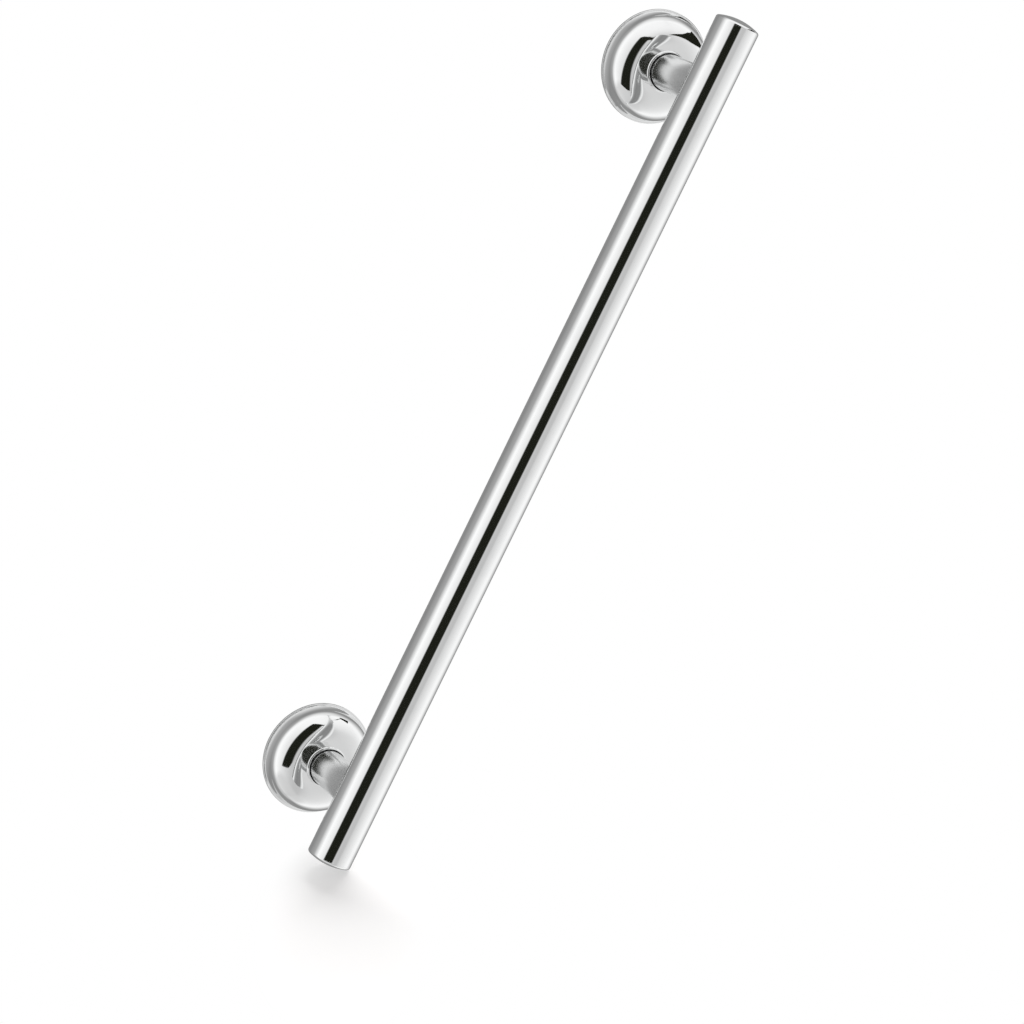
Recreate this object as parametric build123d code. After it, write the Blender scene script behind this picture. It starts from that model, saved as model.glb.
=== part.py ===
from build123d import *
import os
from math import cos, radians, sin, sqrt

# Wall grab bar: a straight chromed rail on two round posts, each ending in a domed wall flange.
# Millimetres, +Z along the rail, +Y into the wall. The origin is on the wall's face, midway
# between the two posts, and a height is a distance from the wall towards the room.

# Rail
rail_diameter = 32.0
rail_length = 640.0
rail_wall = 1.5
rail_to_wall = 85.0

# End caps, pushed into the rail and level with its outside
cap_band = 1.6
cap_dome_height = 3.2
cap_edge_round = 1.2
cap_spigot_length = 14.0
cap_wall = 3.0
cap_clearance = 0.05
cap_lead_chamfer = 0.8
cap_seal_cord = 2.0
cap_seal_inset = 8.0
cap_groove_play = 0.15

# Posts, turned from bar, with a saddle at the rail and a socket at the wall
post_diameter = 26.0
post_inset = 49.0
post_wall = 3.0
post_socket_depth = 45.0
post_foot_chamfer = 0.6
saddle_clearance = 0.02

# Screw that pulls each post against the rail, with its washer and the threaded block in the rail
bolt_diameter = 8.0
bolt_reach = 11.9
bolt_tip_chamfer = 1.0
bolt_head_diameter = 13.0
bolt_head_height = 8.0
bolt_head_round = 0.8
bolt_hex_across = 6.0
bolt_hex_depth = 4.0
bolt_hole_clearance = 0.4
thread_clearance = 0.02
washer_diameter = 15.0
washer_thickness = 1.6
nut_thickness = 12.5
nut_length = 26.0
nut_clearance = 0.05
nut_end_chamfer = 1.0

# Wall plates, each with a hollow spigot that its post fits over
plate_inset = 9.5
plate_thickness = 3.0
plate_edge_chamfer = 0.8
wall_screw_hole = 5.5
wall_screw_edge = 8.0
wall_screw_count = 3
spigot_length = 22.0
spigot_wall = 3.95
spigot_clearance = 0.05
spigot_lead_chamfer = 1.0
spigot_groove_depth = 0.8
spigot_groove_play = 0.2
gasket_thickness = 1.0
gasket_margin = 1.0

# Grub screw that locks each post on its spigot, from below and hidden by the cover
grub_diameter = 5.0
grub_height = 11.0
grub_sink = 0.3
grub_seat_gap = 0.02
grub_tip_chamfer = 0.8
grub_hex_across = 2.5
grub_hex_depth = 2.0

# Flange covers, spun from sheet, each held on its post by a rubber ring inside the collar.
# A slope is the surface's angle to the wall, in degrees.
cover_diameter = 81.0
cover_sheet = 1.2
cover_lip_width = 1.4
cover_lip_height = 1.6
cover_lip_round = 0.5
cover_foot_round = 0.4
cover_foot_slope = 62.0
cover_flare_radius = 16.0
cover_side_slope = 85.0
cover_side_round = 9.0
cover_shoulder_slope = 60.0
cover_shoulder_round = 17.0
cover_ring_cord = 0.7
collar_sheet = 0.7
collar_rise = 3.0
collar_lip_round = 0.3
collar_root_round = 0.6
cover_ring_recess = 0.8

# Sizes that follow from the ones above
rail_radius = rail_diameter / 2
bore_radius = rail_radius - rail_wall
bore_height = rail_to_wall - bore_radius
post_spacing = rail_length - 2 * post_inset
post_radius = post_diameter / 2
socket_radius = post_radius - post_wall
plate_face = gasket_thickness + plate_thickness
plate_radius = cover_diameter / 2 - plate_inset
wall_screw_radius = plate_radius - wall_screw_edge
web_near = plate_face + post_socket_depth
web_far = rail_to_wall - rail_radius
bolt_hole_radius = bolt_diameter / 2 + bolt_hole_clearance
spigot_radius = socket_radius - spigot_clearance
spigot_bore_radius = spigot_radius - spigot_wall
groove_radius = spigot_radius - spigot_groove_depth
collar_bore_radius = post_radius + cover_ring_cord
collar_radius = collar_bore_radius + collar_sheet
foot_cos = cos(radians(cover_foot_slope))
side_cos = cos(radians(cover_side_slope))
shoulder_cos = cos(radians(cover_shoulder_slope))
cover_top = (
    cover_lip_height
    + cover_flare_radius * (foot_cos - side_cos)
    + cover_side_round * (shoulder_cos - side_cos)
    + cover_shoulder_round * (1 - shoulder_cos)
)
collar_top = cover_top + collar_rise

# The upper end is at +Z and the lower end at -Z.
SIDES = {"upper": 1, "lower": -1}


def turned(outline, roundings=()):
    """Turn a closed outline of radius and height points about a post's axis.

    Each rounding is the radius and height of a corner and the size of its round."""
    face = make_face(Polyline(*[(r, -h) for r, h in outline], close=True))
    return revolve(rounded(face, [((r, -h), size) for (r, h), size in roundings]), Axis.Y)


def rounded(face, roundings):
    """Round the named corners of a flat outline."""
    for (u, v), size in roundings:
        corner = face.vertices().sort_by_distance((u, v, 0))[0]
        face = fillet(corner, size)
    return face


def drum(radius, low, high):
    """A cylinder about a post's axis between two heights."""
    return Pos(0, -(low + high) / 2, 0) * Rot(90, 0, 0) * Cylinder(radius, high - low)


def hex_socket(across, depth):
    """A hexagon recess whose mouth is at z = 0 and whose floor is below it."""
    return extrude(RegularPolygon(across / 2, 6, major_radius=False), -depth)


def ring(middle_radius, cord):
    """A rubber ring about Z."""
    return Torus(middle_radius, cord / 2)


def both(piece):
    """One copy of a fastener at each post."""
    return [at_post(piece, side) for side in SIDES]


def at_post(piece, side):
    return Pos(0, 0, SIDES[side] * post_spacing / 2) * piece


def at_rail_end(piece, side):
    """Put a piece made with its joint face at z = 0, pointing up, onto an end of the rail tube."""
    flip = Rot(0, 0, 0) if side == "upper" else Rot(180, 0, 0)
    return Pos(0, -rail_to_wall, SIDES[side] * (rail_length / 2 - cap_band)) * flip * piece


def rail_tube():
    """Straight tube with a screw hole through its wall side at each post."""
    length = rail_length - 2 * cap_band
    tube = Cylinder(rail_radius, length) - Cylinder(bore_radius, length)
    tube = Pos(0, -rail_to_wall, 0) * tube
    for side in SIDES:
        tube -= at_post(drum(bolt_hole_radius, web_far - 1, rail_to_wall), side)
    return tube


def end_cap():
    """Shallow domed disc with a hollow spigot that carries its seal in a groove."""
    outer = bore_radius - cap_clearance
    inner = bore_radius - cap_wall
    crown = cap_band + cap_dome_height
    ball = (rail_radius**2 + cap_dome_height**2) / (2 * cap_dome_height)
    middle = rail_radius / 2
    dome = ThreePointArc(
        (0, crown), (middle, crown - ball + sqrt(ball**2 - middle**2)), (rail_radius, cap_band)
    )
    sides = Polyline(
        (rail_radius, cap_band),
        (rail_radius, 0),
        (outer, 0),
        (outer, cap_lead_chamfer - cap_spigot_length),
        (outer - cap_lead_chamfer, -cap_spigot_length),
        (inner, -cap_spigot_length),
        (inner, cap_band - cap_wall),
        (0, cap_band - cap_wall),
        (0, crown),
    )
    face = rounded(make_face([dome, *sides.edges()]), [((rail_radius, cap_band), cap_edge_round)])
    groove_half = cap_seal_cord / 2 + cap_groove_play
    groove = Cylinder(rail_radius, 2 * groove_half)
    groove -= Cylinder(bore_radius - cap_seal_cord, 2 * groove_half)
    return revolve(Rot(90, 0, 0) * face, Axis.Z) - Pos(0, 0, -cap_seal_inset) * groove


def cap_seal():
    """Rubber ring in the cap's groove, touching the rail's bore."""
    return Pos(0, 0, -cap_seal_inset) * ring(bore_radius - cap_seal_cord / 2, cap_seal_cord)


def post():
    """Round post: saddle against the rail, screw hole in a web, socket for the wall plate."""
    body = turned([
        (0, plate_face),
        (post_radius - post_foot_chamfer, plate_face),
        (post_radius, plate_face + post_foot_chamfer),
        (post_radius, rail_to_wall),
        (0, rail_to_wall),
    ])
    saddle = Cylinder(rail_radius + saddle_clearance, 2 * post_diameter)
    body -= Pos(0, -rail_to_wall, 0) * saddle
    body -= drum(socket_radius, plate_face, web_near)
    body -= drum(bolt_hole_radius, web_near, rail_to_wall)
    grub_hole = Cylinder(grub_diameter / 2 + thread_clearance, post_diameter)
    return body - Pos(0, -grub_height, -post_radius) * grub_hole


def post_bolt():
    """Socket head screw from inside the post, through the rail's wall, into the threaded block."""
    radius = bolt_diameter / 2
    head_radius = bolt_head_diameter / 2
    seat = web_near - washer_thickness
    tip = bore_height + bolt_reach
    top = seat - bolt_head_height
    body = turned(
        [
            (0, top),
            (head_radius, top),
            (head_radius, seat),
            (radius, seat),
            (radius, tip - bolt_tip_chamfer),
            (radius - bolt_tip_chamfer, tip),
            (0, tip),
        ],
        [((head_radius, top), bolt_head_round)],
    )
    # The key's recess opens towards the wall.
    return body - Pos(0, -top, 0) * Rot(-90, 0, 0) * hex_socket(bolt_hex_across, bolt_hex_depth)


def washer():
    """Plain washer between the screw's head and the post's web."""
    disc = drum(washer_diameter / 2, web_near - washer_thickness, web_near)
    return disc - drum(bolt_hole_radius, web_near - washer_thickness, web_near)


def saddle_nut():
    """Threaded block that slides in the rail, its back curved to the rail's bore."""
    radius = bore_radius - nut_clearance
    half = nut_length / 2
    block = revolve(
        Plane.XZ * make_face(Polyline(
            (0, -half),
            (radius - nut_end_chamfer, -half),
            (radius, nut_end_chamfer - half),
            (radius, half - nut_end_chamfer),
            (radius - nut_end_chamfer, half),
            (0, half),
            close=True,
        )),
        Axis.Z,
    )
    cut = bore_height + nut_thickness - rail_to_wall
    block -= Pos(0, -cut - rail_radius, 0) * Box(rail_diameter, rail_diameter, 2 * nut_length)
    block = Pos(0, -rail_to_wall, 0) * block
    return block - drum(bolt_diameter / 2 + thread_clearance, web_far, rail_to_wall + rail_radius)


def wall_screw_places(side):
    """Centres of the wall screws, the first one towards the rail's near end."""
    turn = 90 * SIDES[side]
    return PolarLocations(wall_screw_radius, wall_screw_count, start_angle=turn)


def wall_screw_holes(side, low, high):
    """Cutters for the wall screws between two heights."""
    hole = Cylinder(wall_screw_hole / 2, high - low)
    middle = Pos(0, -(low + high) / 2, 0) * Rot(90, 0, 0)
    return [middle * place * hole for place in wall_screw_places(side)]


def wall_plate(side):
    """Round plate with three screw holes and a hollow spigot grooved for the grub screw."""
    end = plate_face + spigot_length
    groove_half = grub_diameter / 2 + spigot_groove_play
    body = turned([
        (spigot_bore_radius, gasket_thickness),
        (plate_radius, gasket_thickness),
        (plate_radius, plate_face - plate_edge_chamfer),
        (plate_radius - plate_edge_chamfer, plate_face),
        (spigot_radius, plate_face),
        (spigot_radius, grub_height - groove_half),
        (groove_radius, grub_height - groove_half),
        (groove_radius, grub_height + groove_half),
        (spigot_radius, grub_height + groove_half),
        (spigot_radius, end - spigot_lead_chamfer),
        (spigot_radius - spigot_lead_chamfer, end),
        (spigot_bore_radius, end),
    ])
    return body - wall_screw_holes(side, gasket_thickness, plate_face)


def wall_gasket(side):
    """Flat rubber disc behind the plate, with the plate's own holes."""
    disc = drum(plate_radius - gasket_margin, 0, gasket_thickness)
    disc -= drum(spigot_bore_radius, 0, gasket_thickness)
    return disc - wall_screw_holes(side, 0, gasket_thickness)


def grub_screw():
    """Headless screw from the post's underside onto the floor of the spigot's groove."""
    tip = groove_radius + grub_seat_gap
    length = post_radius - grub_sink - tip
    radius = grub_diameter / 2
    body = Cylinder(radius, length)
    body = chamfer(body.faces().sort_by(Axis.Z)[-1].edges(), grub_tip_chamfer)
    body -= Pos(0, 0, -length / 2) * Rot(180, 0, 0) * hex_socket(grub_hex_across, grub_hex_depth)
    return Pos(0, -grub_height, -(tip + length / 2)) * body


def cover_curves(inset):
    """The cover's side and shoulder, from lip to flat top, some inset inside its skin.

    They are arcs that touch. Where the slope is a, a point on an arc is its middle plus its radius
    times (sin a, cos a), and the hollow arc at the foot has a negative radius."""
    r = cover_diameter / 2 - cover_lip_width
    height = cover_lip_height
    slopes = [cover_foot_slope, cover_side_slope, cover_shoulder_slope, 0]
    arcs = []
    for radius, first, last in zip(
        [-cover_flare_radius, cover_side_round, cover_shoulder_round], slopes[:-1], slopes[1:]
    ):
        start, end = radians(first), radians(last)
        r -= radius * sin(start)
        height -= radius * cos(start)
        reach = radius - inset
        points = [
            (r + reach * sin(a), -height - reach * cos(a)) for a in (start, (start + end) / 2, end)
        ]
        arcs.append(ThreePointArc(*points))
        r += radius * sin(end)
        height += radius * cos(end)
    return arcs


def cover_outline(inset, foot, lip_start, lip, top):
    """Section from the axis round the lip, up the side and shoulder and back to the axis."""
    arcs = cover_curves(inset)
    first, last = arcs[0] @ 0, arcs[-1] @ 1
    before = Polyline((0, -foot), (lip_start, -foot), (lip_start, -lip), first)
    after = Polyline(last, *top, (0, -foot))
    return make_face([*before.edges(), *arcs, *after.edges()])


def flange_cover():
    """Spun cover: narrow lip, flared side, round shoulder, flat top and a collar round the post."""
    rim = cover_diameter / 2
    collar = [(collar_radius, -cover_top), (collar_radius, -collar_top), (0, -collar_top)]
    outline = rounded(
        cover_outline(0, 0, rim, cover_lip_height, collar),
        [
            ((rim, -cover_lip_height), cover_lip_round),
            ((rim - cover_lip_width, -cover_lip_height), cover_foot_round),
            ((collar_radius, -cover_top), collar_root_round),
            ((collar_radius, -collar_top), collar_lip_round),
        ],
    )
    lip_hollow = cover_lip_height - cover_sheet
    ceiling = [(0, cover_sheet - cover_top)]
    hollow = cover_outline(cover_sheet, -1, rim - cover_sheet, lip_hollow, ceiling)
    shell = revolve(outline, Axis.Y) - revolve(hollow, Axis.Y)
    return shell - drum(collar_bore_radius, 0, collar_top)


def cover_ring():
    """Rubber ring between the collar and the post."""
    height = collar_top - cover_ring_recess - cover_ring_cord / 2
    middle = post_radius + cover_ring_cord / 2
    return Pos(0, -height, 0) * Rot(90, 0, 0) * ring(middle, cover_ring_cord)


def all_nodes():
    """Every piece by its node's name, fasteners that are alike sharing one node."""
    nodes = {"rail_tube": rail_tube()}
    for side in SIDES:
        nodes[f"end_cap_{side}"] = at_rail_end(end_cap(), side)
        nodes[f"cap_seal_{side}"] = at_rail_end(cap_seal(), side)
        nodes[f"post_{side}"] = at_post(post(), side)
        nodes[f"saddle_nut_{side}"] = at_post(saddle_nut(), side)
        nodes[f"wall_plate_{side}"] = at_post(wall_plate(side), side)
        nodes[f"wall_gasket_{side}"] = at_post(wall_gasket(side), side)
        nodes[f"flange_cover_{side}"] = at_post(flange_cover(), side)
        nodes[f"cover_ring_{side}"] = at_post(cover_ring(), side)
    nodes["post_bolts"] = Compound(children=both(post_bolt()))
    nodes["post_washers"] = Compound(children=both(washer()))
    nodes["grub_screws"] = Compound(children=both(grub_screw()))
    return nodes


os.makedirs("parts", exist_ok=True)
for name, piece in all_nodes().items():
    export_step(piece, f"parts/{name}.step")
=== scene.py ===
import bpy
import numpy as np
from math import cos, radians, sin
from mathutils import Matrix, Vector


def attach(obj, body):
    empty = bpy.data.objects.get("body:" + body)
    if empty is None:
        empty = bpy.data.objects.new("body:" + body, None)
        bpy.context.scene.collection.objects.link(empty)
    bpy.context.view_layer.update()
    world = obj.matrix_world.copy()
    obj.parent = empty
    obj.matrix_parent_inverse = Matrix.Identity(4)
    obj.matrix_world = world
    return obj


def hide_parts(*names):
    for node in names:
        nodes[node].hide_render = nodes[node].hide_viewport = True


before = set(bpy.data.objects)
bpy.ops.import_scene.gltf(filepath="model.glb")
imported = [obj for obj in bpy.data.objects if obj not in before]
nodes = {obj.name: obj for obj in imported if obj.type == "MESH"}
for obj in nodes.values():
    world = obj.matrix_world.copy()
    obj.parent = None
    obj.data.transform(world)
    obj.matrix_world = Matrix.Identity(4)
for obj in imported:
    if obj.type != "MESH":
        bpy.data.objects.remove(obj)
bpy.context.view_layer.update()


# Wall gaskets: a flat disc of black rubber behind each wall plate, punched with the plate's holes.
# Moulded sheet with a dull skin, a fine pebble and a little pale dust. The seals in the end caps
# are the same rubber.
class Wire:
    """A node's output that takes part in Python sums: each operator adds its Math node."""

    def __init__(self, finish, socket):
        self.finish = finish
        self.socket = socket

    def joined(self, operation, first, second):
        settings = {"operation": operation}
        return self.finish.node("ShaderNodeMath", 0, settings, {0: first, 1: second})

    def __add__(self, other):
        return self.joined("ADD", self, other)

    def __radd__(self, other):
        return self.joined("ADD", other, self)

    def __sub__(self, other):
        return self.joined("SUBTRACT", self, other)

    def __rsub__(self, other):
        return self.joined("SUBTRACT", other, self)

    def __mul__(self, other):
        return self.joined("MULTIPLY", self, other)

    def __rmul__(self, other):
        return self.joined("MULTIPLY", other, self)

    def __truediv__(self, other):
        return self.joined("DIVIDE", self, other)

    def __rtruediv__(self, other):
        return self.joined("DIVIDE", other, self)


class Finish:
    """A surface finish, or the room's light, as nodes that are added one at a time."""

    def __init__(self, owner):
        self.owner = owner
        owner.use_nodes = True
        self.tree = owner.node_tree
        self.tree.nodes.clear()

    def node(self, kind, output, settings, sockets):
        """Add a node, set its settings first and then its sockets, and give back one output. The
        setting called stops is a ramp's list of places and grey levels."""
        made = self.tree.nodes.new(kind)
        for name, value in settings.items():
            if name == "stops":
                ramp = made.color_ramp
                for place, level in value[1:-1]:
                    ramp.elements.new(place)
                for stop, (place, level) in zip(ramp.elements, value):
                    stop.position = place
                    stop.color = (level, level, level, 1)
            else:
                setattr(made, name, value)
        for name, value in sockets.items():
            if isinstance(value, Wire):
                self.tree.links.new(value.socket, made.inputs[name])
            else:
                made.inputs[name].default_value = value
        return None if output is None else Wire(self, made.outputs[output])

    def place(self, scale=(1, 1, 1)):
        """Object coordinates in metres, stretched by a scale."""
        here = self.node("ShaderNodeTexCoord", "Object", {}, {})
        return self.node("ShaderNodeMapping", 0, {}, {"Vector": here, "Scale": scale})

    def noise(self, where, scale, detail=2.0, roughness=0.5):
        """Cloudy noise from 0 to 1, with scale features to a metre."""
        sockets = {"Vector": where, "Scale": scale, "Detail": detail, "Roughness": roughness}
        return self.node("ShaderNodeTexNoise", 0, {}, sockets)

    def band(self, value, low, high):
        """0 below low, 1 above high, and a smooth step between."""
        settings = {"interpolation_type": "SMOOTHSTEP"}
        sockets = {"Value": value, "From Min": low, "From Max": high}
        return self.node("ShaderNodeMapRange", 0, settings, sockets)

    def mixed(self, share, first, second):
        """Two colours mixed by a share."""
        sockets = {0: share, 6: first, 7: second}
        return self.node("ShaderNodeMix", 2, {"data_type": "RGBA"}, sockets)

    def bumped(self, height, distance):
        """Normals tilted by a height from 0 to 1 that stands for a distance in metres."""
        return self.node("ShaderNodeBump", 0, {}, {"Height": height, "Distance": distance})

    def blended(self, share, first, second):
        """Two shaders mixed by a share."""
        return self.node("ShaderNodeMixShader", 0, {}, {0: share, 1: first, 2: second})

    def shining(self, colour, strength=1.0):
        """A surface that gives off light of one colour."""
        return self.node("ShaderNodeEmission", 0, {}, {"Color": colour, "Strength": strength})

    def clear(self):
        """A surface that lets all light through."""
        return self.node("ShaderNodeBsdfTransparent", 0, {}, {"Color": (1, 1, 1, 1)})

    def along(self, where, direction):
        """How far a place or a direction reaches along another direction."""
        settings = {"operation": "DOT_PRODUCT"}
        return self.node("ShaderNodeVectorMath", "Value", settings, {0: where, 1: direction})

    def surface(self, sockets):
        """End the finish in a Principled shader with these sockets."""
        shader = self.node("ShaderNodeBsdfPrincipled", 0, {}, sockets)
        self.node("ShaderNodeOutputMaterial", None, {}, {"Surface": shader})
        return self.owner


def finish_node(name, finish):
    """Put a finish on every slot of a CAD node."""
    for slot in nodes[name].material_slots:
        slot.material = finish


ENDS = {"upper": 1, "lower": -1}
moulded = Finish(bpy.data.materials.new("moulded_rubber"))
where = moulded.place()
pebble = moulded.noise(where, 2600.0, 3.0, 0.6)
dust = moulded.band(moulded.noise(where, 90.0, 4.0, 0.6), 0.52, 0.78)
rubber = moulded.surface({
    "Base Color": moulded.mixed(dust * 0.35, (0.012, 0.012, 0.013, 1), (0.07, 0.068, 0.064, 1)),
    "Roughness": 0.52 + 0.2 * pebble + 0.1 * dust,
    "Normal": moulded.bumped(pebble, 0.00006),
})
for end in ENDS:
    finish_node(f"wall_gasket_{end}", rubber)
    finish_node(f"cap_seal_{end}", rubber)


# Wall plates: die-cast zinc, one piece with the hollow spigot that carries the post, and three
# screw holes. Left as cast: a dull grey skin with a fine grain and darker patches.
cast = Finish(bpy.data.materials.new("die_cast_zinc"))
where = cast.place()
grain = cast.noise(where, 1500.0, 5.0, 0.65)
stain = cast.band(cast.noise(where, 70.0, 3.0, 0.55), 0.4, 0.7)
die_cast = cast.surface({
    "Base Color": cast.mixed(stain, (0.43, 0.44, 0.45, 1), (0.3, 0.31, 0.32, 1)),
    "Metallic": 0.9,
    "Roughness": 0.38 + 0.16 * grain + 0.1 * stain,
    "Normal": cast.bumped(grain, 0.00005),
})
for end in ENDS:
    finish_node(f"wall_plate_{end}", die_cast)


# Fasteners: stainless socket screws, their washers and the grub screws. Turned from bar, so fine
# rings run round the posts' axes, with a slightly uneven sheen.
steel = Finish(bpy.data.materials.new("turned_stainless"))
rings = steel.noise(steel.place((60, 4000, 60)), 1.0, 3.0, 0.6)
sheen = steel.noise(steel.place(), 300.0, 2.0)
turned_steel = steel.surface({
    "Base Color": steel.mixed(sheen, (0.56, 0.56, 0.55, 1), (0.66, 0.66, 0.65, 1)),
    "Metallic": 1.0,
    "Roughness": 0.22 + 0.14 * rings,
    "Normal": steel.bumped(rings, 0.00001),
})
for name in ("post_bolts", "post_washers", "grub_screws"):
    finish_node(name, turned_steel)


# Saddle nuts: a threaded brass block inside the rail at each post, its back curved to the bore.
# Sawn and turned brass, bright on the cuts and browner where it was handled.
brass = Finish(bpy.data.materials.new("turned_brass"))
cuts = brass.noise(brass.place((40, 40, 3000)), 1.0, 3.0, 0.6)
tarnish = brass.band(brass.noise(brass.place(), 120.0, 4.0), 0.45, 0.7)
turned_brass = brass.surface({
    "Base Color": brass.mixed(tarnish, (0.78, 0.58, 0.25, 1), (0.5, 0.34, 0.14, 1)),
    "Metallic": 1.0,
    "Roughness": 0.24 + 0.12 * cuts + 0.14 * tarnish,
    "Normal": brass.bumped(cuts, 0.00001),
})
for end in ENDS:
    finish_node(f"saddle_nut_{end}", turned_brass)


# Rail: a straight drawn tube of thin wall, linished and chromium plated. Mirror bright, with the
# faintest long polishing lines, and a fine edge where each end meets its cap.
RAIL_RADIUS = 0.016
RAIL_BORE = 0.0145
RAIL_HALF = 0.3184
RAIL_TO_WALL = 0.085
RAIL_EDGE = 0.00003


def rounded_line(corners, steps=8):
    """Line through corners (r, h, size), each corner of some size replaced by an arc of that
    radius that touches both its sides: the arc's middle lies on the corner's bisector."""
    points = []
    for i, (r, h, size) in enumerate(corners):
        here = np.array([r, h])
        if size == 0:
            points.append(here[None])
            continue
        back = np.array(corners[i - 1][:2]) - here
        ahead = np.array(corners[(i + 1) % len(corners)][:2]) - here
        back /= np.linalg.norm(back)
        ahead /= np.linalg.norm(ahead)
        half = np.arccos(np.clip(back @ ahead, -1, 1)) / 2
        bisector = (back + ahead) / np.linalg.norm(back + ahead)
        middle = here + bisector * size / np.sin(half)
        first = here + back * size / np.tan(half) - middle
        last = here + ahead * size / np.tan(half) - middle
        sweep = np.pi - 2 * half
        share = np.linspace(0, 1, steps + 1)[:, None]
        points.append(
            middle
            + (np.sin((1 - share) * sweep) * first + np.sin(share * sweep) * last) / np.sin(sweep)
        )
    return np.vstack(points)


def evened(line, step, closed=True):
    """The same line with points put in so that no two neighbours are further apart than step."""
    ends = np.vstack([line, line[:1]]) if closed else line
    kept = []
    for a, b in zip(ends[:-1], ends[1:]):
        count = max(1, int(np.ceil(np.linalg.norm(b - a) / step)))
        kept.append(a + (b - a) * np.linspace(0, 1, count, endpoint=False)[:, None])
    if not closed:
        kept.append(ends[-1:])
    return np.vstack(kept)


def skin(name, grid, finish, replaced, poles=None):
    """Mesh of a grid of points whose columns run round to their start. Its rows do too, unless two
    poles close them. The faces are turned over where they enclose a negative volume."""
    rows, columns = grid.shape[:2]
    number = np.arange(rows * columns).reshape(rows, columns)
    ahead = np.roll(number, -1, axis=1)
    last = rows if poles is None else rows - 1
    below = np.roll(number, -1, axis=0)[:last]
    beyond = np.roll(below, -1, axis=1)
    quads = np.stack([number[:last], ahead[:last], beyond, below], axis=-1).reshape(-1, 4)
    points = grid.reshape(-1, 3)
    faces = quads.tolist()
    thirds = np.concatenate([quads[:, [0, 1, 2]], quads[:, [0, 2, 3]]])
    if poles is not None:
        first, final = len(points), len(points) + 1
        points = np.vstack([points, poles])
        start = np.stack([ahead[0], number[0], np.full(columns, first)], axis=-1)
        finish_fan = np.stack([number[-1], ahead[-1], np.full(columns, final)], axis=-1)
        faces += start.tolist() + finish_fan.tolist()
        thirds = np.concatenate([thirds, start, finish_fan])
    a, b, c = (points[thirds[:, k]] for k in range(3))
    if np.einsum("ij,ij->i", a, np.cross(b, c)).sum() < 0:
        faces = [face[::-1] for face in faces]
    mesh = bpy.data.meshes.new(name)
    mesh.from_pydata(points.tolist(), [], faces)
    mesh.polygons.foreach_set("use_smooth", np.ones(len(faces), dtype=bool))
    mesh.materials.append(finish)
    piece = bpy.data.objects.new(name, mesh)
    bpy.context.scene.collection.objects.link(piece)
    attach(piece, "root")
    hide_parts(replaced)
    return piece


def about_rail(line, columns=256):
    """A line of radius and height turned about the rail: (r cos t, r sin t - rail_to_wall, h)."""
    turn = np.linspace(0, 2 * np.pi, columns, endpoint=False)[None]
    r, h = line[:, :1], line[:, 1:]
    return np.stack([r * np.cos(turn), r * np.sin(turn) - RAIL_TO_WALL, h + 0 * turn], axis=-1)


def chrome_finish(name, lines, blur=0.035):
    """Bright chromium: a mirror with hairlines along one direction, faint haze and tiny waves."""
    chrome = Finish(bpy.data.materials.new(name))
    where = chrome.place()
    hairlines = chrome.noise(chrome.place(lines), 1.0, 4.0, 0.7)
    haze = chrome.band(chrome.noise(where, 45.0, 4.0, 0.6), 0.45, 0.75)
    wave = chrome.noise(where, 60.0, 1.0)
    return chrome.surface({
        "Base Color": chrome.mixed(haze, (0.9, 0.905, 0.905, 1), (0.87, 0.875, 0.875, 1)),
        "Metallic": 1.0,
        "Roughness": blur + 0.03 * hairlines + 0.02 * haze,
        "Normal": chrome.bumped(wave + 0.02 * hairlines, 0.000004),
    })


rail_chrome = chrome_finish("rail_chrome", (2500, 2500, 12))
tube_line = rounded_line([
    (RAIL_RADIUS, -RAIL_HALF, RAIL_EDGE),
    (RAIL_RADIUS, RAIL_HALF, RAIL_EDGE),
    (RAIL_BORE, RAIL_HALF, 0),
    (RAIL_BORE, -RAIL_HALF, 0),
])
skin("rail_skin", about_rail(evened(tube_line, 0.02)), rail_chrome, "rail_tube")


# End caps: turned brass, plated with the rail. A narrow band as wide as the tube, a shallow dome,
# and a grooved spigot that pushes into the tube on its rubber ring.
CAP_BAND = 0.0016
CAP_RISE = 0.0032
CAP_ROUND = 0.002
CAP_DOME_EDGE = 0.0014
CAP_THICKNESS = 0.003
CAP_POLE = 0.0004
CAP_SPIGOT = 0.014
CAP_LEAD = 0.0008
CAP_HOLLOW = 0.0115
CAP_FIT = 0.01445
GROOVE_FLOOR = 0.0125
GROOVE_MIDDLE = 0.008
GROOVE_HALF = 0.00115


def cap_line():
    """From the dome's middle over its one arc to the band, then down the spigot and back inside.
    The arc has radius (R*R + rise*rise) / (2 rise)."""
    crown = CAP_BAND + CAP_RISE
    ceiling = CAP_BAND - CAP_THICKNESS
    ball = (RAIL_RADIUS**2 + CAP_RISE**2) / (2 * CAP_RISE)
    r = np.linspace(CAP_POLE, RAIL_RADIUS - CAP_DOME_EDGE, 40)
    dome = np.stack([r, crown - ball + np.sqrt(ball**2 - r**2)], axis=-1)
    corners = [
        (*dome[-1], 0),
        (RAIL_RADIUS, CAP_BAND, CAP_ROUND),
        (RAIL_RADIUS, 0, RAIL_EDGE),
        (CAP_FIT, 0, 0),
        (CAP_FIT, -GROOVE_MIDDLE + GROOVE_HALF, 0),
        (GROOVE_FLOOR, -GROOVE_MIDDLE + GROOVE_HALF, 0),
        (GROOVE_FLOOR, -GROOVE_MIDDLE - GROOVE_HALF, 0),
        (CAP_FIT, -GROOVE_MIDDLE - GROOVE_HALF, 0),
        (CAP_FIT, CAP_LEAD - CAP_SPIGOT, 0),
        (CAP_FIT - CAP_LEAD, -CAP_SPIGOT, 0),
        (CAP_HOLLOW, -CAP_SPIGOT, 0),
        (CAP_HOLLOW, ceiling, 0),
        (CAP_POLE, ceiling, 0),
    ]
    line = np.vstack([dome[:-1], rounded_line(corners)])
    return evened(line, 0.0006, closed=False), crown, ceiling


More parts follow.
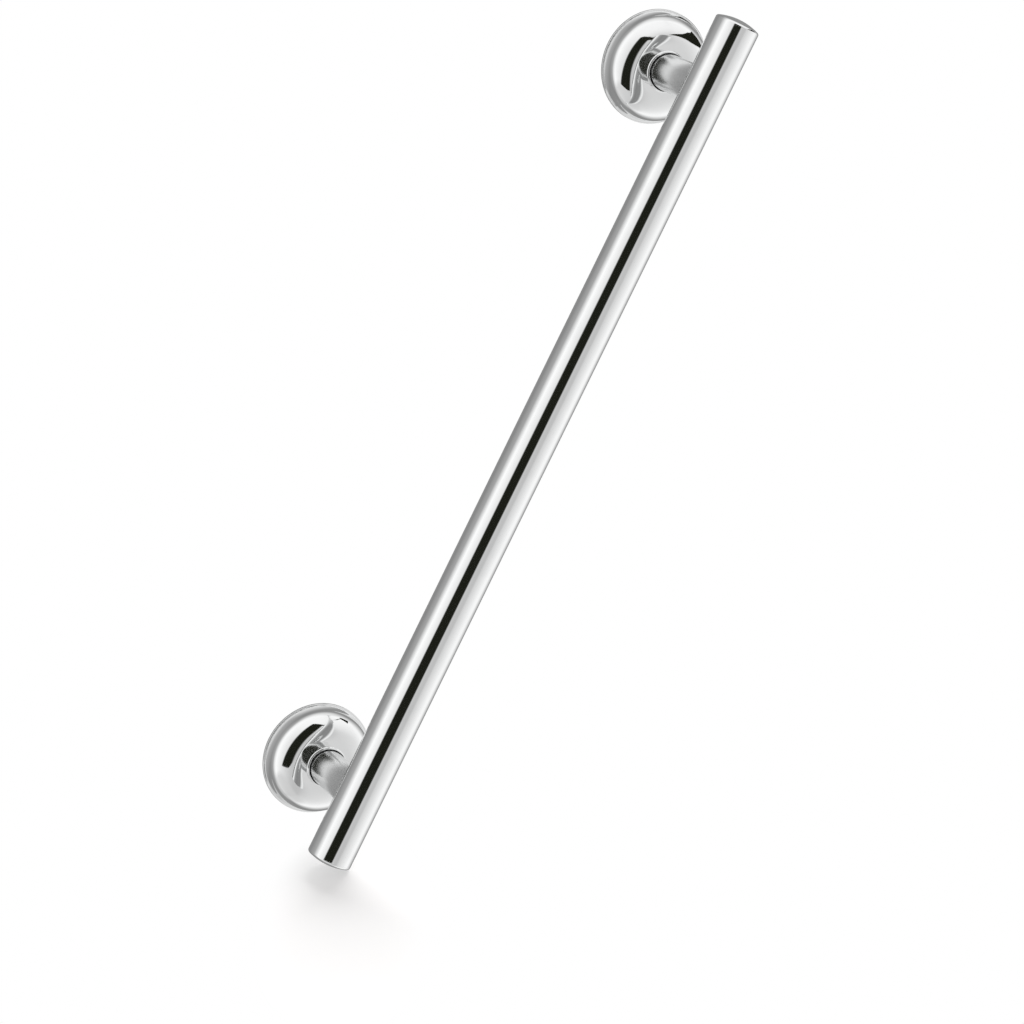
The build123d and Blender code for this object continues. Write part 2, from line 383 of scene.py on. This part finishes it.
cap_chrome = chrome_finish("cap_chrome", (1800, 1800, 1800))
line, crown, ceiling = cap_line()
for end, side in ENDS.items():
    seat = side * RAIL_HALF
    grid = about_rail(np.stack([line[:, 0], seat + side * line[:, 1]], axis=-1))
    poles = [(0, -RAIL_TO_WALL, seat + side * h) for h in (crown, ceiling)]
    skin(f"cap_skin_{end}", grid, cap_chrome, f"end_cap_{end}", poles)


# Posts: turned from brass bar and plated, coped to the rail at the room end, so a thin dark line
# runs round the joint. The wall end is bored to fit over the plate's spigot.
POST_RADIUS = 0.013
POST_SEAT = 0.271
POST_FOOT = 0.004
SADDLE_RADIUS = 0.01602
SADDLE_EDGE = 0.0003
SOCKET_RADIUS = 0.010
SOCKET_END = 0.049
BOLT_HOLE = 0.0044
FOOT_CHAMFER = 0.0006


def post_grid(side, columns=320):
    """Rows of a post from its foot to the saddle, over the saddle, and back down the inside.
    At turn t a row is (r cos t, -h, r sin t), and the saddle's height at x is
    rail_to_wall - sqrt(saddle_radius^2 - x^2)."""
    turn = np.linspace(0, 2 * np.pi, columns, endpoint=False)[None]

    def rows(radii, heights):
        r = np.asarray(radii, float)[:, None]
        x, z = r * np.cos(turn), r * np.sin(turn)
        saddle = RAIL_TO_WALL - np.sqrt(SADDLE_RADIUS**2 - x**2)
        return np.stack([x, -heights(saddle, r), side * POST_SEAT + z], axis=-1)

    near = POST_FOOT + FOOT_CHAMFER
    share = np.linspace(0, 1, 60) ** 0.7
    arc = np.linspace(0, np.pi / 2, 7)[1:]
    outer = rows(
        np.full(60, POST_RADIUS),
        lambda top, r: near + (top - SADDLE_EDGE - near) * share[:, None],
    )
    edge = rows(
        POST_RADIUS - SADDLE_EDGE * (1 - np.cos(arc)),
        lambda top, r: top - SADDLE_EDGE * (1 - np.sin(arc))[:, None],
    )
    seat = rows(np.linspace(POST_RADIUS - 2 * SADDLE_EDGE, BOLT_HOLE, 12), lambda top, r: top)
    inside = rows(
        [BOLT_HOLE, SOCKET_RADIUS, SOCKET_RADIUS, POST_RADIUS - FOOT_CHAMFER],
        lambda top, r: np.array([SOCKET_END, SOCKET_END, POST_FOOT, POST_FOOT])[:, None] + 0 * top,
    )
    return np.concatenate([outer, edge, seat, inside])


post_chrome = chrome_finish("post_chrome", (30, 2500, 30), 0.2)
for end, side in ENDS.items():
    skin(f"post_skin_{end}", post_grid(side), post_chrome, f"post_{end}")


# Flange covers: spun from thin sheet and plated. A narrow lip against the wall, a side that flares
# at its foot, a broad round shoulder, a slightly crowned top and a short thin collar round the post.
# The inside is left dull.
RIM = 0.0405
SHEET = 0.0012
LIP_WIDTH = 0.0014
LIP_HEIGHT = 0.0016
LIP_ROUND = 0.0005
FOOT_ROUND = 0.0004
FOOT_SLOPE = 62
FLARE_RADIUS = 0.016
SIDE_SLOPE = 85
SIDE_RADIUS = 0.009
SHOULDER_SLOPE = 60
SHOULDER_RADIUS = 0.017
CROWN_SLOPE = 17
CROWN_RADIUS = 0.027
CORD = 0.0007
COLLAR_BORE = POST_RADIUS + CORD
COLLAR_SHEET = 0.0007
COLLAR_RADIUS = COLLAR_BORE + COLLAR_SHEET
COLLAR_TOP = 0.02293
COLLAR_ROOT = 0.0006
COLLAR_ROUND = 0.0003
COLLAR_BREAK = 0.0001


def about_post(line, side, columns=320):
    """A line of radius and height turned about a post: (r cos t, -h, seat + r sin t)."""
    turn = np.linspace(0, 2 * np.pi, columns, endpoint=False)[None]
    r, h = line[:, :1], line[:, 1:]
    return np.stack([r * np.cos(turn), -h + 0 * turn, side * POST_SEAT + r * np.sin(turn)], axis=-1)


def cover_arcs(inset, count):
    """The cover's side and top, from lip to collar, at some inset inside its skin: touching arcs.
    Where the slope is a, a point is its arc's middle plus the radius times (sin a, cos a). The
    flare is hollow, so its radius is negative."""
    r, h = RIM - LIP_WIDTH, LIP_HEIGHT
    points = []
    for radius, first, last in (
        (-FLARE_RADIUS, FOOT_SLOPE, SIDE_SLOPE),
        (SIDE_RADIUS, SIDE_SLOPE, SHOULDER_SLOPE),
        (SHOULDER_RADIUS, SHOULDER_SLOPE, CROWN_SLOPE),
        (CROWN_RADIUS, CROWN_SLOPE, 0),
    ):
        slope = np.radians(np.linspace(first, last, count))
        middle = (r - radius * np.sin(slope[0]), h - radius * np.cos(slope[0]))
        reach = radius - inset
        points.append(
            np.stack([middle[0] + reach * np.sin(slope), middle[1] + reach * np.cos(slope)], axis=-1)
        )
        r, h = middle[0] + radius * np.sin(slope[-1]), middle[1] + radius * np.cos(slope[-1])
    line = np.vstack([points[0], *(arc[1:] for arc in points[1:])])
    return [(*point, 0) for point in line]


COVER_TOP = cover_arcs(0, 2)[-1][1]


def cover_line():
    """The cover's section: lip, side, shoulder, top and collar, then the same again one sheet
    further in."""
    side = cover_arcs(0, 60)
    outside = rounded_line([
        (RIM, 0, 0),
        (RIM, LIP_HEIGHT, LIP_ROUND),
        (*side[0][:2], FOOT_ROUND),
        *side[2:],
        (COLLAR_RADIUS, COVER_TOP, COLLAR_ROOT),
        (COLLAR_RADIUS, COLLAR_TOP, COLLAR_ROUND),
        (COLLAR_BORE, COLLAR_TOP, COLLAR_BREAK),
        (COLLAR_BORE, COVER_TOP - SHEET, 0),
    ])
    inside = rounded_line([
        *cover_arcs(SHEET, 20)[::-1],
        (RIM - SHEET, LIP_HEIGHT - SHEET, 0),
        (RIM - SHEET, 0, 0),
    ])
    return evened(outside, 0.0003, closed=False), evened(inside, 0.001, closed=False)


cover_chrome = chrome_finish("cover_chrome", (1400, 1400, 1400))
spun = Finish(bpy.data.materials.new("spun_inside"))
rings = spun.noise(spun.place((200, 3000, 200)), 1.0, 3.0, 0.6)
patch = spun.band(spun.noise(spun.place(), 80.0, 3.0), 0.4, 0.7)
spun_inside = spun.surface({
    "Base Color": spun.mixed(patch, (0.55, 0.55, 0.53, 1), (0.44, 0.44, 0.42, 1)),
    "Metallic": 1.0,
    "Roughness": 0.3 + 0.15 * rings + 0.1 * patch,
    "Normal": spun.bumped(rings, 0.00002),
})
outside, inside = cover_line()
for end, side in ENDS.items():
    grid = about_post(np.vstack([outside, inside]), side)
    cover = skin(f"cover_skin_{end}", grid, cover_chrome, f"flange_cover_{end}")
    cover.data.materials.append(spun_inside)
    rows, columns = grid.shape[:2]
    dull = np.repeat(np.arange(rows) >= len(outside) - 1, columns)
    cover.data.polygons.foreach_set("material_index", dull.astype(np.int32))


# Cover rings: a round rubber cord between collar and post, seen as the dark line round each post.
# Moulded rubber, pushed in a little below the collar's top.
RING_SINK = 0.0008
RING_HEIGHT = COLLAR_TOP - RING_SINK - CORD / 2
turn = np.linspace(0, 2 * np.pi, 24, endpoint=False)
middle = POST_RADIUS + CORD / 2
ring_line = np.stack(
    [middle + CORD / 2 * np.cos(turn), RING_HEIGHT + CORD / 2 * np.sin(turn)], axis=-1
)
for end, side in ENDS.items():
    ring = skin(f"ring_skin_{end}", about_post(ring_line, side), rubber, f"cover_ring_{end}")


# Camera: the photograph's long lens, a little above the bar's middle and to its left, turned so
# that the bar leans.
AZIMUTH = radians(-27.93)
ELEVATION = radians(4.69)
ROLL = radians(26.11)
DISTANCE = 3.115
FOCUS_PIXELS = 4484
IMAGE_PIXELS = 1024
SENSOR = 36
AIM = Vector((0.0224, -0.060, -0.0497))
ahead = Vector((
    -sin(AZIMUTH) * cos(ELEVATION),
    cos(AZIMUTH) * cos(ELEVATION),
    -sin(ELEVATION),
))
level = ahead.cross(Vector((0, 0, 1))).normalized()
upright = level.cross(ahead)
right = level * cos(ROLL) + upright * sin(ROLL)
up = upright * cos(ROLL) - level * sin(ROLL)
lens = bpy.data.cameras.new("photo_camera")
lens.sensor_width = SENSOR
lens.lens = FOCUS_PIXELS / IMAGE_PIXELS * SENSOR
lens.clip_end = 20
camera = bpy.data.objects.new("photo_camera", lens)
bpy.context.scene.collection.objects.link(camera)
spot = AIM - ahead * DISTANCE
camera.matrix_world = Matrix((
    (right.x, up.x, -ahead.x, spot.x),
    (right.y, up.y, -ahead.y, spot.y),
    (right.z, up.z, -ahead.z, spot.z),
    (0, 0, 0, 1),
))
bpy.context.scene.camera = camera


# Floor: a plain pale sheet under the lower end, sloping as the photograph's does, so that the bar
# leans on it and its soft shadow falls towards the camera. From below the camera looks through it.
FLOOR_SLOPE = radians(20)
FLOOR_DROP = 0.2823
FLOOR_HALF_WIDTH = 0.066
FLOOR_HALF_DEPTH = 0.17
FLOOR_NEARER = 0.1
# The oval where the paper's real shade shows, then the painted white and painted glow that lighten
# that shade.
SHADE_HALF_WIDTH = 0.06
SHADE_HALF_DEPTH = 0.16
SHADE_SHIFT = 0.002
LEAST_PAINTED_WHITE = 0.24
FLOOR_PAINTED_GLOW = 0.08
rise = up * cos(FLOOR_SLOPE) - ahead * sin(FLOOR_SLOPE)
nearer = -ahead * cos(FLOOR_SLOPE) - up * sin(FLOOR_SLOPE)
touch = Vector((0.0151, -0.0836, -0.3204))
touch -= rise * (touch.dot(rise) + FLOOR_DROP)
turn = np.linspace(0, 2 * np.pi, 96, endpoint=False)[:, None]
across = np.cos(turn) * np.array(right * FLOOR_HALF_WIDTH)
down = np.sin(turn) * np.array(nearer * FLOOR_HALF_DEPTH)
edge = across - down + np.array(touch + nearer * FLOOR_NEARER)
sheet = bpy.data.meshes.new("studio_floor")
sheet.from_pydata(edge.tolist(), [], [list(range(96))])
floor = bpy.data.objects.new("studio_floor", sheet)
bpy.context.scene.collection.objects.link(floor)
floor.visible_glossy = False

# The camera sees the paper's real shade in an oval under the bar's end, fading to white round it.
# That white is painted over the shade: all of it outside the oval, and a share of it even at the
# oval's middle, so it shapes and lightens the shadow.
paper = Finish(bpy.data.materials.new("pale_floor"))
matt = paper.node("ShaderNodeBsdfDiffuse", 0, {}, {"Color": (0.9, 0.885, 0.88, 1)})
# A faint painted glow added to the lit paper, which lightens its shadow too.
painted_glow = paper.shining((1, 1, 1, 1), FLOOR_PAINTED_GLOW)
lit = paper.node("ShaderNodeAddShader", 0, {}, {0: matt, 1: painted_glow})
here = paper.node("ShaderNodeTexCoord", "Object", {}, {})
wide = (paper.along(here, right) - (touch.dot(right) + SHADE_SHIFT)) / SHADE_HALF_WIDTH
deep = (paper.along(here, nearer) - (touch.dot(nearer) + FLOOR_NEARER)) / SHADE_HALF_DEPTH
outward = paper.band(wide * wide + deep * deep, 0.1, 1.1)
# Painted white over the paper's shade: the whole of it outside the oval, the least share at its
# middle.
painted_white_share = outward * (1 - LEAST_PAINTED_WHITE) + LEAST_PAINTED_WHITE
shade_under_painted_white = paper.blended(painted_white_share, lit, paper.shining((1, 1, 1, 1)))
below = paper.node("ShaderNodeNewGeometry", "Backfacing", {}, {})
one_sided = paper.blended(below, shade_under_painted_white, paper.clear())
camera_ray = paper.node("ShaderNodeLightPath", "Is Camera Ray", {}, {})
shown = paper.blended(camera_ray, matt, one_sided)
paper.node("ShaderNodeOutputMaterial", None, {}, {"Surface": shown})
sheet.materials.append(paper.owner)


# Room light: a white studio for the camera and for matt surfaces. Metal sees the studio's surfaces:
# a black flag in front, black flags overhead to the right, and walls from grey to white.
FRONT = Vector((-0.4684, -0.8835, 0))
SIDE = Vector((0.8835, -0.4684, 0))
UP = Vector((0, 0, 1))
BLACK = (0.012, 0.013, 0.009, 1)


def card(name, corners, edges=()):
    """A flat black card in the studio, seen only in bright metal. A corner is its distance in front
    of the bar's middle, to its right and above it. An edge is a direction, and where along it the
    card fades in."""
    points = [FRONT * near + SIDE * side + UP * high for near, side, high in corners]
    mesh = bpy.data.meshes.new(name)
    mesh.from_pydata([tuple(point) for point in points], [], [list(range(len(points)))])
    tone = Finish(bpy.data.materials.new(name))
    light = tone.shining(BLACK)
    for direction, start, end in edges:
        here = tone.node("ShaderNodeTexCoord", "Object", {}, {})
        solid = tone.band(tone.along(here, direction), start, end)
        light = tone.blended(solid, tone.clear(), light)
    tone.node("ShaderNodeOutputMaterial", None, {}, {"Surface": light})
    mesh.materials.append(tone.owner)
    flag = bpy.data.objects.new(name, mesh)
    bpy.context.scene.collection.objects.link(flag)
    flag.visible_camera = False
    flag.visible_diffuse = False
    flag.visible_shadow = False


front_flag = [
    (0.9, -0.42, -0.95), (0.9, 0.2, -0.72), (0.9, 0.45, -0.5), (0.9, 0.45, 0.74), (0.9, -0.01, 0.8),
    (0.9, -0.18, 0.77),
]
soft_left = (SIDE - UP * 0.12, -0.3, -0.19)
soft_right = (-SIDE, -0.43, -0.33)
card("front_flag", front_flag, [soft_left, soft_right])
flag_arm = [(0.9, 0.3, 0.62), (0.9, 0.6, 0.62), (0.9, 0.6, 0.7), (0.9, 0.3, 0.74)]
card("flag_arm", flag_arm)
over_flag = [
    (-0.1, 0.32, 0.74), (-0.215, 0.275, 0.74), (-0.365, 0.474, 0.664), (-0.15, 0.58, 0.664),
]
card("over_flag", over_flag)
side_flag = [
    (0.2, 0.178, 0.426), (0.136, 0.243, 0.537), (0, 0.294, 0.691), (-0.1, 0.32, 0.74),
    (-0.1, 0.24, 0.455), (0.09, 0.24, 0.434),
]
card("side_flag", side_flag)

# A broad soft light high behind the bar. It gives the floor its shadow, and metal doesn't show it.
back_lamp = bpy.data.lights.new("back_light", "SUN")
back_lamp.angle = radians(37)
back_lamp.energy = 3.1
back_light = bpy.data.objects.new("back_light", back_lamp)
bpy.context.scene.collection.objects.link(back_light)
towards = right * 0.24 + up * 0.85 + ahead * 0.47
back_light.rotation_euler = towards.to_track_quat("Z", "Y").to_euler()
back_light.visible_glossy = False

world = bpy.data.worlds.new("studio")
bpy.context.scene.world = world
room = Finish(world)
facing = room.node("ShaderNodeTexCoord", "Generated", {}, {})


def linear(level):
    """Linear light of a display level from 0 to 255."""
    return ((level / 255 + 0.055) / 1.055) ** 2.4


# The studio's walls, by the angle in degrees round the bar from the camera, right being positive:
# a dark wall behind, a screen left of the flag, a dim gap right of it and a window further right.
DARK_WALL = 142
LEFT_CORNER = 136
GREY_WALL = 165
SCREEN = 255
CAMERA_WALL = 232
DIM_GAP = 190
GAP_EDGE = 209
WINDOW = 248
RIGHT_CORNER = 138
walls = [
    (-180, DARK_WALL), (-128, LEFT_CORNER), (-88, GREY_WALL), (-59, SCREEN), (-28, CAMERA_WALL),
    (35, DIM_GAP), (46, DIM_GAP), (54, GAP_EDGE), (104, WINDOW), (118, WINDOW),
    (156, RIGHT_CORNER), (180, DARK_WALL),
]
bearing = {0: room.along(facing, SIDE), 1: room.along(facing, FRONT)}
angle = room.node("ShaderNodeMath", 0, {"operation": "ARCTAN2"}, bearing)
stops = [((degrees + 180) / 360, linear(level)) for degrees, level in walls]
pattern = room.node("ShaderNodeValToRGB", 0, {"stops": stops}, {"Fac": angle / (2 * np.pi) + 0.5})

# A white ceiling leans over the front, and a pale floor lies under it. Metal sees these surfaces,
# matt surfaces get an even light, and the camera sees white.
CEILING = linear(250)
GROUND = linear(205)
METAL_LIGHT = 1.1
MATT_LIGHT = 0.55
overhead = FRONT * 0.35 + UP * 0.937
underfoot = FRONT * 0.26 - UP * 0.966
ceiling = room.band(room.along(facing, overhead), 0.4, 1.05)
ground = room.band(room.along(facing, underfoot), 0.82, 0.94)
sky = room.mixed(ceiling * 0.9, pattern, (CEILING, CEILING, CEILING, 1))
around = room.mixed(ground * 0.8, sky, (GROUND, GROUND, GROUND, 1))
seen = room.node("ShaderNodeBackground", 0, {}, {"Color": around, "Strength": METAL_LIGHT})
even = {"Color": (1, 1, 1, 1), "Strength": MATT_LIGHT}
plain = room.node("ShaderNodeBackground", 0, {}, even)
white = room.node("ShaderNodeBackground", 0, {}, {"Color": (1, 1, 1, 1), "Strength": 1.0})
glossy_ray = room.node("ShaderNodeLightPath", "Is Glossy Ray", {}, {})
camera_ray = room.node("ShaderNodeLightPath", "Is Camera Ray", {}, {})
lit = room.blended(glossy_ray, plain, seen)
all_rays = room.blended(camera_ray, lit, white)
room.node("ShaderNodeOutputWorld", None, {}, {"Surface": all_rays})
bpy.context.scene.view_settings.view_transform = "Standard"
